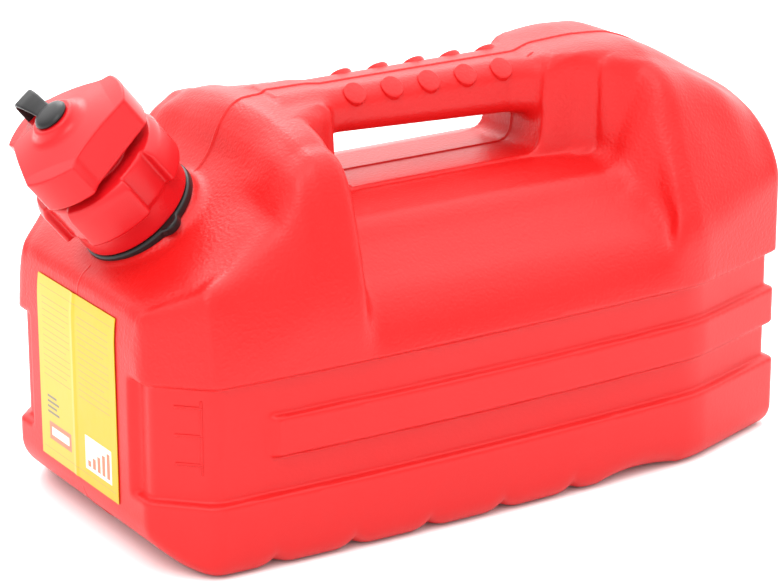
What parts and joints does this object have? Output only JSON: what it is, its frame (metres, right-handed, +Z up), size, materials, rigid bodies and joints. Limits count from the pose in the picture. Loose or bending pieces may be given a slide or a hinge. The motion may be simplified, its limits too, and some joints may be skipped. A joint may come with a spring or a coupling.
{
  "type": "petrol jerry can",
  "caption": "Boxy moulded fuel can with a handle in its own wall, banded sides and a tilted neck with a collar nut, a stowed pouring spout and a lobed screw cap.",
  "frame": {"origin": "on the ground under the middle of the moulded can's base", "axes": "+X along the can, away from the neck; +Y across it, square to the mould's parting plane; +Z up"},
  "size_m": [0.3229, 0.1542, 0.1823],
  "materials": {
    "can_shell": "blow-moulded polyethylene with a fine grain",
    "closure_plastic": "smooth injection-moulded polyethylene, semi-gloss",
    "spout_plastic": "black polyethylene",
    "black_rubber": "black fuel-proof rubber",
    "label_film": "printed film"
  },
  "bodies": {
    "root": {"can_body": "can_shell", "neck_gasket": "black_rubber", "label": "label_film"},
    "spout_lift": {"pour_spout": "spout_plastic"},
    "collar": {"collar_nut": "closure_plastic"},
    "seal_lift": {"cap_seal": "black_rubber"},
    "cap": {"closing_cap": "closure_plastic", "plug_strap": "black_rubber"},
    "plug": {"vent_plug": "black_rubber"}
  },
  "joints": [
    {"name": "collar_rise", "type": "slide", "parent": "root", "child": "spout_lift", "axis": [-0.632, 0, 0.7749], "range_m": [0, 0.0151]},
    {"name": "collar_turn", "type": "hinge", "parent": "spout_lift", "child": "collar", "pos_m": [-0.1214, 0, 0.12666], "axis": [-0.632, 0, 0.7749], "range_deg": [0, 1080]},
    {"name": "cap_rise", "type": "slide", "parent": "collar", "child": "seal_lift", "axis": [-0.632, 0, 0.7749], "range_m": [0, 0.0071]},
    {"name": "cap_turn", "type": "hinge", "parent": "seal_lift", "child": "cap", "pos_m": [-0.1214, 0, 0.12666], "axis": [-0.632, 0, 0.7749], "range_deg": [0, 630]},
    {"name": "plug_pull", "type": "slide", "parent": "cap", "child": "plug", "axis": [-0.632, 0, 0.7749], "range_m": [0, 0.011], "deforming": ["plug_strap"]}
  ],
  "couplings": [
    {"joint": "collar_rise", "follows": "collar_turn", "m_per_rad": 0.00079577},
    {"joint": "cap_rise", "follows": "cap_turn", "m_per_rad": 0.00063662}
  ]
}
